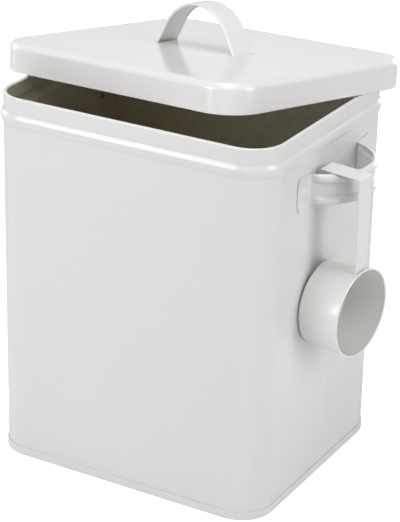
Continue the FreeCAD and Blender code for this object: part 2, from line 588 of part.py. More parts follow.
# One bent strip: a tongue on the outside of the cup, behind its rolled edge, the stem, the hook
# and its lip.
def scoopHook():
    body = newBody("scoop_hook")
    face, behind = "-Dim.hook_back", "(-Dim.hook_back - Dim.hook_gauge)"
    outer_bend = "(Dim.hook_bend + Dim.hook_gauge)"
    top, under = "Dim.hook_rise", "Dim.hook_rise - Dim.hook_gauge"
    lip = "(-Dim.cup_depth - Dim.lip_behind)"
    lip_in = "(Dim.hook_gauge - Dim.cup_depth - Dim.lip_behind)"
    outside = "(Dim.cup_mouth - Dim.cup_bead / 2 + Dim.gauge / 2)"
    slope = f"(({outside} - Dim.cup_base) / (Dim.cup_depth - Dim.cup_bead / 2))"
    root = f"({outside} - (Dim.hook_back - Dim.cup_bead / 2) * {slope} + Dim.seam_gap)"
    foot = f"({root} + Dim.seam_gap)"
    slant = math.sqrt(0.5)
    outer, inner = value(outer_bend) * (1 - slant), value("Dim.hook_bend") * (1 - slant)
    strip = newSketch(body, "HookSketch", "XZ_Plane")
    outline(strip, (
        (face, foot),
        (face, f"{top} - {outer_bend}", value(face) - outer, value(top) - outer, outer_bend),
        (f"{face} - {outer_bend}", top),
        (f"{lip} + {outer_bend}", top, value(lip) + outer, value(top) - outer, outer_bend),
        (lip, f"{top} - {outer_bend}"),
        (lip, f"{top} - Dim.hook_lip"),
        (lip_in, f"{top} - Dim.hook_lip"),
        (lip_in, f"{top} - {outer_bend}", value(lip_in) + inner, value(under) - inner, "Dim.hook_bend"),
        (f"{lip_in} + Dim.hook_bend", under),
        (f"{behind} - Dim.hook_bend", under, value(behind) - inner, value(under) - inner, "Dim.hook_bend"),
        (behind, f"{top} - {outer_bend}"),
        (behind, foot),
    ))
    extrude(body, "Pad", "HookStrip", strip, "Dim.hook_width", Midplane=True)
    tongue = newSketch(body, "TongueSketch", "XZ_Plane")
    tip = f"({root} - Dim.tongue_length * {slope})"
    outline(tongue, (
        (face, root),
        (face, f"{root} + Dim.hook_gauge"),
        (f"{face} - Dim.tongue_length", f"{tip} + Dim.hook_gauge"),
        (f"{face} - Dim.tongue_length", tip),
    ))
    axisLine(tongue, ("-Dim.cup_depth", "0"), ("0", "0"))
    revolve(body, "Revolution", "Tongue", tongue, "2 * asin(Dim.tongue_width / 2 / Dim.cup_mouth)")
    body.Placement = scoopPlacement()
    return body


pieces = [
    binWall(),
    basePan(),
    sideHandle("handle_right", 1),
    sideHandle("handle_left", -1),
    rivetPair("rivets_right", 1),
    rivetPair("rivets_left", -1),
    lidPan(),
    lidHandle(),
    scoopCup(),
    scoopHook(),
]
document.recompute()

failed = [item.Name for item in document.Objects
          if "Invalid" in item.State or "Error" in item.State]
if failed:
    raise RuntimeError(f"these objects failed: {failed}")
for piece in pieces:
    if piece.Shape.isNull() or not piece.Shape.isValid():
        raise RuntimeError(f"{piece.Label} has no valid shape")

os.makedirs("parts", exist_ok=True)
for piece in pieces:
    piece.Shape.exportStep(f"parts/{piece.Label}.step")
    box = piece.Shape.BoundBox
    print(f"{piece.Label}: {len(piece.Shape.Solids)} solid, {piece.Shape.Volume:.0f} mm3,"
          f" x {box.XMin:.1f} to {box.XMax:.1f}, y {box.YMin:.1f} to {box.YMax:.1f},"
          f" z {box.ZMin:.1f} to {box.ZMax:.1f}")
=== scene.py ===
import bpy
import json
import math
from mathutils import Euler, Matrix, Vector

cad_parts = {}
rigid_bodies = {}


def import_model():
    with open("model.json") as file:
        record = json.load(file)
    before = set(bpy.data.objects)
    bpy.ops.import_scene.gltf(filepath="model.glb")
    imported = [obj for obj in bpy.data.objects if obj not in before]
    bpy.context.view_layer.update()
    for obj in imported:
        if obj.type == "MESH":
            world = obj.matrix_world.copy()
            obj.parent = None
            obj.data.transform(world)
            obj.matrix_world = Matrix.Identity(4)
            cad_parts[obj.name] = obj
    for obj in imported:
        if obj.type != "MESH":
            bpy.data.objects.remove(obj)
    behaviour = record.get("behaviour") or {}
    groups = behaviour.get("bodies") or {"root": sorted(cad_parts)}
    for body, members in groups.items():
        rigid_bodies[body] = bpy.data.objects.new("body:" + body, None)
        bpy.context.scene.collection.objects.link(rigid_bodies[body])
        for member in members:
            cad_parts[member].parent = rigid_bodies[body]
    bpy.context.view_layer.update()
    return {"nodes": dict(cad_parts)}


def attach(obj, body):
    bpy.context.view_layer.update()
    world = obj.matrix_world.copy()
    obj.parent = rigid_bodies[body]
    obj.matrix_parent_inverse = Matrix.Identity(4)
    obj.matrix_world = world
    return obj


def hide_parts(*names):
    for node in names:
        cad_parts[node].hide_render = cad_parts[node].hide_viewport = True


for leftover in list(bpy.data.objects):
    bpy.data.objects.remove(leftover)

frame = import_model()
mm = 0.001
mergeWithin = 0.002 * mm
near = 0.01
cornerSteps = 12
print("frame loaded")


# Drawing with edit-mode operators: an outline is drawn from one vertex, then swept.

def deselectAll():
    for obj in bpy.context.selected_objects:
        obj.select_set(False)


def startOutline(name, start):
    deselectAll()
    bpy.ops.mesh.primitive_plane_add(size=mm)
    piece = bpy.context.object
    piece.name = piece.data.name = name
    bpy.ops.object.mode_set(mode="EDIT")
    bpy.ops.mesh.select_mode(type="VERT")
    bpy.ops.mesh.merge(type="CENTER")
    bpy.ops.transform.translate(value=start)
    return piece


def run(move):  # extrudes what is selected
    bpy.ops.mesh.extrude_region_move(TRANSFORM_OT_translate={"value": move})


def turn(centre, axis, degrees, steps):  # spins what is selected, right-handed about the axis
    bpy.ops.mesh.spin(steps=steps, angle=-math.radians(degrees), center=centre, axis=axis)


# An outline's corners are pairs. A corner with four numbers is the end of an arc: its first two
# are the arc's centre, the third the degrees it turns and the fourth the steps.
def drawOutline(name, corners, plane="XZ", closed=True):
    across, up = {"XZ": (0, 2), "YZ": (1, 2), "XY": (0, 1)}[plane]
    axis = {"XZ": (0, -1, 0), "YZ": (1, 0, 0), "XY": (0, 0, 1)}[plane]

    def place(a, b):
        spot = [0.0, 0.0, 0.0]
        spot[across], spot[up] = a * mm, b * mm
        return Vector(spot)

    here = place(*corners[0])
    piece = startOutline(name, here)
    for corner in corners[1:]:
        if len(corner) == 2:
            there = place(*corner)
            run(there - here)
        else:
            centre = place(*corner[:2])
            turn(centre, axis, corner[2], corner[3])
            there = centre + Matrix.Rotation(math.radians(corner[2]), 3, axis) @ (here - centre)
        here = there
    if closed:
        run(place(*corners[0]) - here)
    bpy.ops.mesh.select_all(action="SELECT")
    bpy.ops.mesh.remove_doubles(threshold=mergeWithin)
    return piece


def sweepRoundedRectangle(halfWidth, halfDepth, radius, seams=()):
    flatX, flatY = (halfWidth - radius) * mm, (halfDepth - radius) * mm
    bpy.ops.transform.translate(value=(0, -flatY, 0))
    y = -flatY
    for seam in seams:
        run((0, seam * mm - y, 0))
        y = seam * mm
    run((0, flatY - y, 0))
    turn((flatX, flatY, 0), (0, 0, 1), 90, cornerSteps)
    run((-2 * flatX, 0, 0))
    turn((-flatX, flatY, 0), (0, 0, 1), 90, cornerSteps)
    run((0, -2 * flatY, 0))
    turn((-flatX, -flatY, 0), (0, 0, 1), 90, cornerSteps)
    run((2 * flatX, 0, 0))
    turn((flatX, -flatY, 0), (0, 0, 1), 90, cornerSteps)
    closeUp()


def closeUp(fill=False):
    bpy.ops.mesh.select_all(action="SELECT")
    bpy.ops.mesh.remove_doubles(threshold=mergeWithin)
    if fill:
        bpy.ops.mesh.select_all(action="DESELECT")
        bpy.ops.mesh.select_mode(type="EDGE")
        bpy.ops.mesh.select_non_manifold()
        bpy.ops.mesh.fill_holes(sides=0)
        bpy.ops.mesh.select_all(action="SELECT")
    bpy.ops.mesh.normals_make_consistent(inside=False)
    bpy.ops.mesh.select_all(action="DESELECT")


def chooseVertices(piece, test):
    bpy.ops.mesh.select_mode(type="VERT")
    bpy.ops.mesh.select_all(action="DESELECT")
    bpy.ops.object.mode_set(mode="OBJECT")
    for vertex in piece.data.vertices:
        vertex.select = test(vertex.co / mm)
    bpy.ops.object.mode_set(mode="EDIT")


def applyModifier(piece, kind, **settings):
    modifier = piece.modifiers.new(kind.title(), kind)
    for setting, choice in settings.items():
        setattr(modifier, setting, choice)
    bpy.context.view_layer.objects.active = piece
    bpy.ops.object.modifier_apply(modifier=modifier.name)


def joinPieces(piece, *others):
    deselectAll()
    for other in others:
        other.select_set(True)
    piece.select_set(True)
    bpy.context.view_layer.objects.active = piece
    bpy.ops.object.join()


# Smooths a finished piece, softens its edges, and puts it in place on its body.
def finishPiece(piece, body, nodes=(), seat=None, soften=0.0, sharpAbove=38):
    if bpy.context.object and bpy.context.object.mode == "EDIT":
        bpy.ops.object.mode_set(mode="OBJECT")
    deselectAll()
    piece.select_set(True)
    bpy.context.view_layer.objects.active = piece
    if soften:
        applyModifier(piece, "BEVEL", width=soften * mm, segments=2, limit_method="ANGLE",
                      angle_limit=math.radians(40), loop_slide=False)
    bpy.ops.object.shade_smooth_by_angle(angle=math.radians(sharpAbove))
    applyModifier(piece, "WEIGHTED_NORMAL", keep_sharp=True, weight=60)
    if seat:
        piece.data.transform(seat)
    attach(piece, body)
    if nodes:
        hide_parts(*nodes)
    return piece


# Where a loose body lies, with its turns about X, Y and Z in degrees.
def seatMatrix(place, turns):
    return Matrix.LocRotScale(Vector(place) * mm, Euler([math.radians(angle) for angle in turns]), None)


lidSeat = seatMatrix((-9.737, 30.567, 300.158), (-7.060, -4.972, -11.885))
scoopSeat = seatMatrix((159.924, -15.5, 156.358), (2.4, 1.0, -6.2))


# Materials.

def newMaterial(name):
    material = bpy.data.materials.new(name)
    material.use_nodes = True
    nodes = material.node_tree.nodes
    return material, nodes, material.node_tree.links, nodes["Principled BSDF"]


paint = {
    "colour": (0.735, 0.733, 0.715),
    "cooler": (0.700, 0.712, 0.706),
    "roughness": 0.22,
    "waviness": 0.05,
    "cloudScale": 9, "cloudDetail": 3, "cloudLow": 0.3, "cloudHigh": 0.7,
    "smoother": 0.85, "rougher": 1.2,
    "peelScale": 650, "peelDetail": 2, "peelStrength": 0.25, "orangePeel": 0.012,
    "swayScale": 7, "swayDetail": 1, "swayReach": 20,
    "coat": 0.25, "coatRoughness": 0.08,
}
bare = {
    "spangleScale": 120, "grainStretch": (400, 400, 6), "grainDetail": 3,
    "darker": (0.68, 0.64, 0.52, 1), "lighter": (0.78, 0.74, 0.60, 1), "rivetTail": (0.30, 0.28, 0.23, 1),
    "smooth": 0.34, "rough": 0.48, "metallic": 0.5,
}


# Baked enamel on sheet steel: a low sheen, a faint orange peel, and sheets that aren't quite flat.
def enamel(name, colour, cooler, roughness, waviness):
    material, nodes, links, shader = newMaterial(name)
    place = nodes.new("ShaderNodeTexCoord")
    cloud = nodes.new("ShaderNodeTexNoise")
    cloud.inputs["Scale"].default_value = paint["cloudScale"]
    cloud.inputs["Detail"].default_value = paint["cloudDetail"]
    links.new(place.outputs["Object"], cloud.inputs["Vector"])
    tint = nodes.new("ShaderNodeMix")
    tint.data_type = "RGBA"
    tint.inputs["A"].default_value = (*colour, 1)
    tint.inputs["B"].default_value = (*cooler, 1)
    links.new(cloud.outputs["Fac"], tint.inputs["Factor"])
    links.new(tint.outputs["Result"], shader.inputs["Base Color"])
    sheen = nodes.new("ShaderNodeMapRange")
    sheen.inputs["From Min"].default_value = paint["cloudLow"]
    sheen.inputs["From Max"].default_value = paint["cloudHigh"]
    sheen.inputs["To Min"].default_value = roughness * paint["smoother"]
    sheen.inputs["To Max"].default_value = roughness * paint["rougher"]
    links.new(cloud.outputs["Fac"], sheen.inputs["Value"])
    links.new(sheen.outputs["Result"], shader.inputs["Roughness"])
    peel = nodes.new("ShaderNodeTexNoise")
    peel.inputs["Scale"].default_value = paint["peelScale"]
    peel.inputs["Detail"].default_value = paint["peelDetail"]
    links.new(place.outputs["Object"], peel.inputs["Vector"])
    sway = nodes.new("ShaderNodeTexNoise")
    sway.inputs["Scale"].default_value = paint["swayScale"]
    sway.inputs["Detail"].default_value = paint["swayDetail"]
    links.new(place.outputs["Object"], sway.inputs["Vector"])
    peelBump = nodes.new("ShaderNodeBump")
    peelBump.inputs["Strength"].default_value = paint["peelStrength"]
    peelBump.inputs["Distance"].default_value = paint["orangePeel"] * mm
    links.new(peel.outputs["Fac"], peelBump.inputs["Height"])
    swayBump = nodes.new("ShaderNodeBump")
    swayBump.inputs["Strength"].default_value = 1.0
    swayBump.inputs["Distance"].default_value = waviness * mm * paint["swayReach"]
    links.new(sway.outputs["Fac"], swayBump.inputs["Height"])
    links.new(peelBump.outputs["Normal"], swayBump.inputs["Normal"])
    links.new(swayBump.outputs["Normal"], shader.inputs["Normal"])
    shader.inputs["Coat Weight"].default_value = paint["coat"]
    shader.inputs["Coat Roughness"].default_value = paint["coatRoughness"]
    return material


# The inside of the wall is bare galvanised sheet, with a faint spangle and an upright grain.
def bareSheet():
    material, nodes, links, shader = newMaterial("bareSheet")
    place = nodes.new("ShaderNodeTexCoord")
    spangle = nodes.new("ShaderNodeTexVoronoi")
    spangle.inputs["Scale"].default_value = bare["spangleScale"]
    links.new(place.outputs["Object"], spangle.inputs["Vector"])
    stretch = nodes.new("ShaderNodeMapping")
    stretch.inputs["Scale"].default_value = bare["grainStretch"]
    links.new(place.outputs["Object"], stretch.inputs["Vector"])
    grain = nodes.new("ShaderNodeTexNoise")
    grain.inputs["Scale"].default_value = 1
    grain.inputs["Detail"].default_value = bare["grainDetail"]
    links.new(stretch.outputs["Vector"], grain.inputs["Vector"])
    colour = nodes.new("ShaderNodeMix")
    colour.data_type = "RGBA"
    colour.inputs["A"].default_value = bare["darker"]
    colour.inputs["B"].default_value = bare["lighter"]
    links.new(spangle.outputs["Distance"], colour.inputs["Factor"])
    links.new(colour.outputs["Result"], shader.inputs["Base Color"])
    rough = nodes.new("ShaderNodeMapRange")
    rough.inputs["To Min"].default_value = bare["smooth"]
    rough.inputs["To Max"].default_value = bare["rough"]
    links.new(grain.outputs["Fac"], rough.inputs["Value"])
    links.new(rough.outputs["Result"], shader.inputs["Roughness"])
    shader.inputs["Metallic"].default_value = bare["metallic"]
    return material


# A rivet is painted with its handle outside the wall and bare inside it.
def rivetMaterial(painted, wallFace):
    material = painted.copy()
    material.name = "rivetEnamel"
    nodes, links = material.node_tree.nodes, material.node_tree.links
    shader = nodes["Principled BSDF"]
    paintColour = shader.inputs["Base Color"].links[0].from_socket
    place = nodes.new("ShaderNodeTexCoord")
    axes = nodes.new("ShaderNodeSeparateXYZ")
    links.new(place.outputs["Object"], axes.inputs["Vector"])
    fromMiddle = nodes.new("ShaderNodeMath")
    fromMiddle.operation = "ABSOLUTE"
    links.new(axes.outputs["X"], fromMiddle.inputs[0])
    within = nodes.new("ShaderNodeMath")
    within.operation = "LESS_THAN"
    within.inputs[1].default_value = wallFace * mm
    links.new(fromMiddle.outputs["Value"], within.inputs[0])
    colour = nodes.new("ShaderNodeMix")
    colour.data_type = "RGBA"
    links.new(within.outputs["Value"], colour.inputs["Factor"])
    links.new(paintColour, colour.inputs["A"])
    colour.inputs["B"].default_value = bare["rivetTail"]
    links.new(colour.outputs["Result"], shader.inputs["Base Color"])
    return material


bodyEnamel = enamel("bodyEnamel", paint["colour"], paint["cooler"], paint["roughness"], paint["waviness"])
# The lid is the body's paint made lighter as painted light: the lighter colour stands in for the extra light
# falling on the lid.
lidEnamelWithPaintedLight = enamel("lidEnamelWithPaintedLight", (0.778, 0.765, 0.753), (0.758, 0.758, 0.748), 0.16, 0.015)
handleEnamel = enamel("handleEnamel", (0.745, 0.742, 0.725), paint["cooler"], 0.2, 0.01)
# The scoop is the body's paint made lighter as painted light: the lighter colour stands in for the extra
# light falling on the cup's upward-facing outside.
scoopEnamelWithPaintedLight = enamel("scoopEnamelWithPaintedLight", (0.770, 0.767, 0.750), (0.745, 0.750, 0.740), 0.22, 0.01)
bareInside = bareSheet()
rivetEnamel = rivetMaterial(handleEnamel, 119.5)
print("materials made")


# The wall: one sheet with a pressed bead and a rolled rim.

wall = {
    "halfWidth": 120, "halfDepth": 103, "corner": 27, "height": 305, "gauge": 0.8,
    "beadLow": 281, "beadHigh": 292, "beadOut": 1.8,
    "roll": 1.5, "foot": 0.9,
    "seamAt": 13.2, "seamHalf": 0.3, "seamDepth": 0.3, "seamLow": 7.4, "seamHigh": 280,
}


def makeWall(w):
    out, back = w["halfWidth"], w["halfWidth"] - w["gauge"]
    middle, half = (w["beadLow"] + w["beadHigh"]) / 2, (w["beadHigh"] - w["beadLow"]) / 2
    radius = (half ** 2 + w["beadOut"] ** 2) / (2 * w["beadOut"])
    sweepAngle = 2 * math.degrees(math.asin(half / radius))
    rollZ, rollX = w["height"] - w["roll"], out - w["roll"]
    shift = w["beadOut"] - radius
    corners = [
        (out, w["foot"]), (out, w["seamLow"]), (out, w["seamHigh"]), (out, w["beadLow"]),
        (out + shift, middle, sweepAngle, 12),
        (out, rollZ),
        (rollX, rollZ, 270, 18),
        (rollX, rollZ - w["roll"] + w["gauge"]),
        (rollX, rollZ, -270, 18),
        (back, w["beadHigh"]),
        (back + shift, middle, -sweepAngle, 12),
        (back, w["foot"]),
    ]
    piece = drawOutline("wallShell", corners)
    seam, edge = w["seamAt"], w["seamHalf"]
    sweepRoundedRectangle(out, w["halfDepth"], w["corner"], seams=(seam - edge, seam, seam + edge))
    chooseVertices(piece, lambda v: abs(v.y - seam) < near and abs(v.x - out) < near
                   and w["seamLow"] - near < v.z < w["seamHigh"] + near)
    bpy.ops.transform.translate(value=(-w["seamDepth"] * mm, 0, 0))
    bpy.ops.object.mode_set(mode="OBJECT")
    piece.data.materials.append(bodyEnamel)
    piece.data.materials.append(bareInside)
    for face in piece.data.polygons:
        outwards = Vector((face.center.x, face.center.y, 0))
        if face.normal.dot(outwards) < -1e-6 and face.center.z < (rollZ - w["roll"] * 0.6) * mm:
            face.material_index = 1
    return finishPiece(piece, "bin", ["bin_wall"])


makeWall(wall)
print("wall made")


# The base: a pan whose edge is folded round the foot of the wall.

base = {
    "fold": 0.9, "inner": 0.9, "ring": 1.7, "height": 7.0, "floor": 6.0, "gauge": 0.8,
    "edge": 0.4, "heel": 0.8, "flatFrom": 10,
}


def makeBase(b, w):
    out = w["halfWidth"]
    outer, groove, band, ring = out + b["fold"], out + 0.1, out - b["inner"], out - b["ring"]
    inside = out - b["flatFrom"]
    corners = [
        (inside, b["floor"]), (band, b["floor"]), (band, b["gauge"]), (groove, b["gauge"]),
        (groove, b["height"] - b["edge"]),
        (outer - b["edge"], b["height"] - b["edge"], -180, 8),
        (outer, b["heel"]),
        (outer - b["heel"], b["heel"], -90, 6),
        (ring, 0), (ring, b["floor"] - b["gauge"]), (inside, b["floor"] - b["gauge"]),
    ]
    piece = drawOutline("baseFold", corners, closed=False)
    sweepRoundedRectangle(out, w["halfDepth"], w["corner"])
    closeUp(fill=True)
    bpy.ops.object.mode_set(mode="OBJECT")
    piece.data.materials.append(bodyEnamel)
    piece.data.materials.append(bareInside)
    for face in piece.data.polygons:
        if face.normal.z > 0.9 and abs(face.center.z - b["floor"] * mm) < 0.01 * mm:
            face.material_index = 1
    return finishPiece(piece, "bin", ["base_pan"])


makeBase(base, wall)
print("base made")


# The side handles: a strap bent into a bow, with a pressed rib along each edge that fades out
# towards the bends, and a flared plate at each end.

sideHandle = {
    "bow": 41.8, "inset": 12.5, "gauge": 0.9, "bend": 1.0, "height": 24.5, "shift": 5.8, "middle": 255.6,
    "plate": 20.5, "plateHeight": 28.6, "endRound": 4.0,
    "rib": 7.1, "ribOut": 3.0, "ribFull": 61, "ribGone": 71, "fadeSteps": 6, "steps": 20, "ribSteps": 10,
}


# The levels of a rib's arc and how far each stands out, for the outer or the inner face.
def ribArc(h, margin):
    half = h["rib"] / 2 - margin
    radius = (half ** 2 + h["ribOut"] ** 2) / (2 * h["ribOut"])
    reach = math.asin(half / radius)
    middle = h["height"] / 2 - h["rib"] / 2
    angles = [reach * (2 * n / h["ribSteps"] - 1) for n in range(h["ribSteps"] + 1)]
    return [(middle + radius * math.sin(a), radius * (math.cos(a) - math.cos(reach))) for a in angles]


def makeSideHandle(h, name, node, side):
    face, back = h["bow"] - h["inset"], h["bow"] - h["inset"] - h["gauge"]
    outer, inner = ribArc(h, 0), ribArc(h, h["gauge"])
    ribs = [(face, level, bulge) for level, bulge in outer] + [(back, level, bulge) for level, bulge in inner]
    corners = [(face, -level) for level, _ in reversed(outer)] + [(face, level) for level, _ in outer]
    corners += [(back, h["height"] / 2)] + [(back, level) for level, _ in reversed(inner)]
    corners += [(back, -level) for level, _ in inner] + [(back, -h["height"] / 2)]
    piece = drawOutline(name, corners)
    centre = (-h["inset"] * mm, 0, 0)
    bend = h["bend"] + h["gauge"] / 2
    bendX = h["gauge"] / 2 + bend
    bendY = math.sqrt((h["bow"] - h["gauge"] / 2 + bend) ** 2 - (bendX + h["inset"]) ** 2)
    swing = math.degrees(math.atan2(bendY, bendX + h["inset"]))
    end = bendY + h["plate"]
    turn(centre, (0, 0, 1), -h["ribFull"], h["steps"])
    turn(centre, (0, 0, 1), -(h["ribGone"] - h["ribFull"]), h["fadeSteps"])
    turn(centre, (0, 0, 1), -(swing - h["ribGone"]), 1)
    turn((bendX * mm, -bendY * mm, 0), (0, 0, 1), swing, 8)
    run((0, (bendY - end + h["endRound"]) * mm, 0))
    flare = h["plateHeight"] / h["height"]
    bpy.ops.transform.resize(value=(1, 1, flare), center_override=(0, 0, 0))
    run((0, -h["endRound"] * mm, 0))
    bpy.ops.mesh.select_all(action="SELECT")
    bpy.ops.mesh.remove_doubles(threshold=mergeWithin)

    fades = [(0, h["ribFull"] + 0.5, 1.0)]
    for n in range(1, h["fadeSteps"]):
        angle = h["ribFull"] + (h["ribGone"] - h["ribFull"]) * n / h["fadeSteps"]
        fades.append((angle - 0.5, angle + 0.5, (1 + math.cos(math.pi * n / h["fadeSteps"])) / 2))
    for start, level, bulge in ribs:
        for first, last, strength in fades if bulge > 0.01 else []:
            chooseVertices(piece, lambda v: abs(abs(v.z) - level) < 0.01
                           and abs(math.hypot(v.x + h["inset"], v.y) - start - h["inset"]) < 0.1
                           and first <= math.degrees(math.atan2(-v.y, v.x + h["inset"])) < last)
            share = 1 + bulge * strength / (start + h["inset"])
            bpy.ops.transform.resize(value=(share, share, 1), center_override=centre)
    endRadius = (h["plateHeight"] ** 2 / 4 + h["endRound"] ** 2) / (2 * h["endRound"])
    for level in sorted({round(abs(level) * flare, 4) for _, level in corners}):
        chooseVertices(piece, lambda v: abs(abs(v.z) - level) < 0.01 and abs(v.y + end) < 0.01)
        rounding = endRadius - math.sqrt(endRadius ** 2 - level ** 2)
        bpy.ops.transform.translate(value=(0, rounding * mm, 0))
    bpy.ops.object.mode_set(mode="OBJECT")
    applyModifier(piece, "MIRROR", use_axis=(False, True, False), merge_threshold=0.005 * mm)
    bpy.ops.object.mode_set(mode="EDIT")
    closeUp(fill=True)
    bpy.ops.object.mode_set(mode="OBJECT")
    piece.data.materials.append(handleEnamel)
    seat = Matrix.Translation((side * wall["halfWidth"] * mm, h["shift"] * mm, h["middle"] * mm))
    seat @= Matrix.Rotation(0 if side > 0 else math.pi, 4, "Z")
    return finishPiece(piece, "bin", [node], seat, soften=0.2)


makeSideHandle(sideHandle, "strapRight", "handle_right", 1)
makeSideHandle(sideHandle, "strapLeft", "handle_left", -1)
for node in ("rivets_right", "rivets_left"):
    frame["nodes"][node].data.materials[0] = rivetEnamel
print("side handles made")


# The lid: a pressed pan with a folded hem and two slots for its handle.

lid = {
    "halfWidth": 124, "halfDepth": 107, "corner": 28.8, "height": 23.4, "edge": 5.5, "gauge": 0.8, "hem": 4.0,
    "flatFrom": 25,
}
grip = {
    "span": 41.3, "rise": 36.0, "lean": 61, "width": 23.1, "gauge": 0.9, "roll": 2.4, "slot": 0.7,
    "tab": 11.0, "tabLap": 2.0, "tabSink": 0.02,
}


def makeLid(p, g):
    out, inner = p["halfWidth"], p["halfWidth"] - p["gauge"]
    fold, top, under = out - 2 * p["gauge"], p["height"], p["height"] - p["gauge"]
    shoulder = top - p["edge"]
    inside = out - p["flatFrom"]
    corners = [
        (inside, top), (out - p["edge"], top),
        (out - p["edge"], shoulder, -90, 10),
        (out, p["gauge"]),
        (inner, p["gauge"], -180, 8),
        (fold, p["hem"]), (inner, p["hem"] + 0.3), (inner, shoulder),
        (out - p["edge"], shoulder, 90, 8),
        (inside, under),
    ]
    piece = drawOutline("lidPan", corners, closed=False)
    sweepRoundedRectangle(out, p["halfDepth"], p["corner"])
    closeUp(fill=True)
    bpy.ops.object.mode_set(mode="OBJECT")
    slotOut = g["span"] + g["gauge"] + g["slot"]
    slotIn = g["span"] - g["roll"] / math.sin(math.radians(g["lean"])) - g["slot"]
    for side in (-1, 1):
        deselectAll()
        bpy.ops.mesh.primitive_cube_add(size=1, location=(side * (slotIn + slotOut) / 2 * mm, 0, top * mm))
        cutter = bpy.context.object
        cutterHeight = 6 * mm
        cutter.scale = ((slotOut - slotIn) * mm, (g["width"] + 2 * g["slot"]) * mm, cutterHeight)
        bpy.ops.object.transform_apply(location=True, rotation=True, scale=True)
        applyModifier(piece, "BOOLEAN", operation="DIFFERENCE", object=cutter, solver="EXACT")
        bpy.data.objects.remove(cutter)
    piece.data.materials.append(lidEnamelWithPaintedLight)
    return finishPiece(piece, "lid", ["lid_pan"], lidSeat)


makeLid(lid, grip)


def makeLidHandle(g, p):
    lean = math.radians(g["lean"])
    crown = (g["span"] * math.sin(lean) - g["rise"] * math.cos(lean)) / (1 - math.cos(lean))
    apex, half, roll = p["height"] + g["rise"], g["width"] / 2, g["roll"] / 2
    inner = apex - g["gauge"]
    corners = [
        (half - roll, apex),
        (-(half - roll), apex),
        (-(half - roll), apex - roll, 180, 8),
        (-(half - roll) + roll - 0.1, apex - roll),
        (-(half - 2 * roll) + 0.6, inner),
        (half - 2 * roll - 0.6, inner),
        (half - roll - roll + 0.1, apex - roll),
        (half - roll, apex - 2 * roll),
        (half - roll, apex - roll, 180, 8),
    ]
    piece = drawOutline("lidStrap", corners, plane="YZ")
    turn((0, 0, (apex - crown) * mm), (0, 1, 0), g["lean"], 14)
    legTop = apex - crown + crown * math.cos(lean)
    foot = p["height"] - p["gauge"] - g["gauge"]
    length = (legTop - foot) / math.sin(lean)
    run((length * math.cos(lean) * mm, 0, -length * math.sin(lean) * mm))
    bpy.ops.object.mode_set(mode="OBJECT")
    applyModifier(piece, "MIRROR", use_axis=(True, False, False), merge_threshold=0.005 * mm)
    bpy.ops.object.mode_set(mode="EDIT")
    closeUp(fill=True)
    bpy.ops.object.mode_set(mode="OBJECT")
    piece.data.materials.append(lidEnamelWithPaintedLight)
    tabs = []
    bend = g["span"] + (p["height"] - foot) / math.tan(lean) - g["tabLap"]
    for side in (-1, 1):
        tip, tabTop = side * (g["span"] + g["tab"]), foot + g["gauge"] - g["tabSink"]
        corners = [(side * bend, foot), (tip, foot), (tip, tabTop), (side * bend, tabTop)]
        tab = drawOutline(f"tab{side}", corners)
        bpy.ops.transform.translate(value=(0, -half * mm, 0))
        run((0, g["width"] * mm, 0))
        closeUp(fill=True)
        bpy.ops.object.mode_set(mode="OBJECT")
        tabs.append(tab)
    joinPieces(piece, *tabs)
    return finishPiece(piece, "lid", ["lid_handle"], lidSeat, soften=0.12)


makeLidHandle(grip, lid)
print("lid made")


# The scoop: a spun cup with a rolled mouth, hung from a bent strip.

cup = {"mouth": 35.8, "base": 34.3, "depth": 36.3, "bead": 1.8, "corner": 3.0, "gauge": 0.8}
hook = {"width": 16.2, "gauge": 0.9, "back": 2.2, "rise": 112.8, "behind": 2.0, "lip": 16, "bend": 1.0,
        "tongue": 12, "tongueLength": 9, "gap": 0.1}


def cupWall(c):
    roll = c["bead"] / 2
    edge = c["mouth"] - roll + c["gauge"] / 2
    return edge, (edge - c["base"]) / (c["depth"] - roll)


def makeCup(c):
    roll = c["bead"] / 2
    slant = math.atan(cupWall(c)[1])
    floor, gauge, corner = -c["depth"], c["gauge"], c["corner"]
    turnOut = 90 - math.degrees(slant)
    across = c["base"] + corner * math.tan(slant) - corner / math.cos(slant)
    join = math.asin(gauge / 2 / roll)
    rollTurn = 360 - 2 * math.degrees(join)
    inner = corner - gauge
    corners = [
        (floor, 0.0), (floor, across),
        (floor + corner, across, -turnOut, 8),
        (-roll - roll * math.cos(join), c["mouth"] - roll + gauge / 2),
        (-roll, c["mouth"] - roll, -rollTurn, 18),
        (floor + corner - inner * math.sin(slant), across + inner * math.cos(slant)),
        (floor + corner, across, turnOut, 6),
        (floor + gauge, 0.0),
    ]
    piece = drawOutline("scoopCup", corners, closed=False)
    turn((0, 0, 0), (1, 0, 0), 360, 96)
    closeUp()
    bpy.ops.object.mode_set(mode="OBJECT")
    piece.data.materials.append(scoopEnamelWithPaintedLight)
    return finishPiece(piece, "scoop", ["scoop_cup"], scoopSeat, sharpAbove=50)


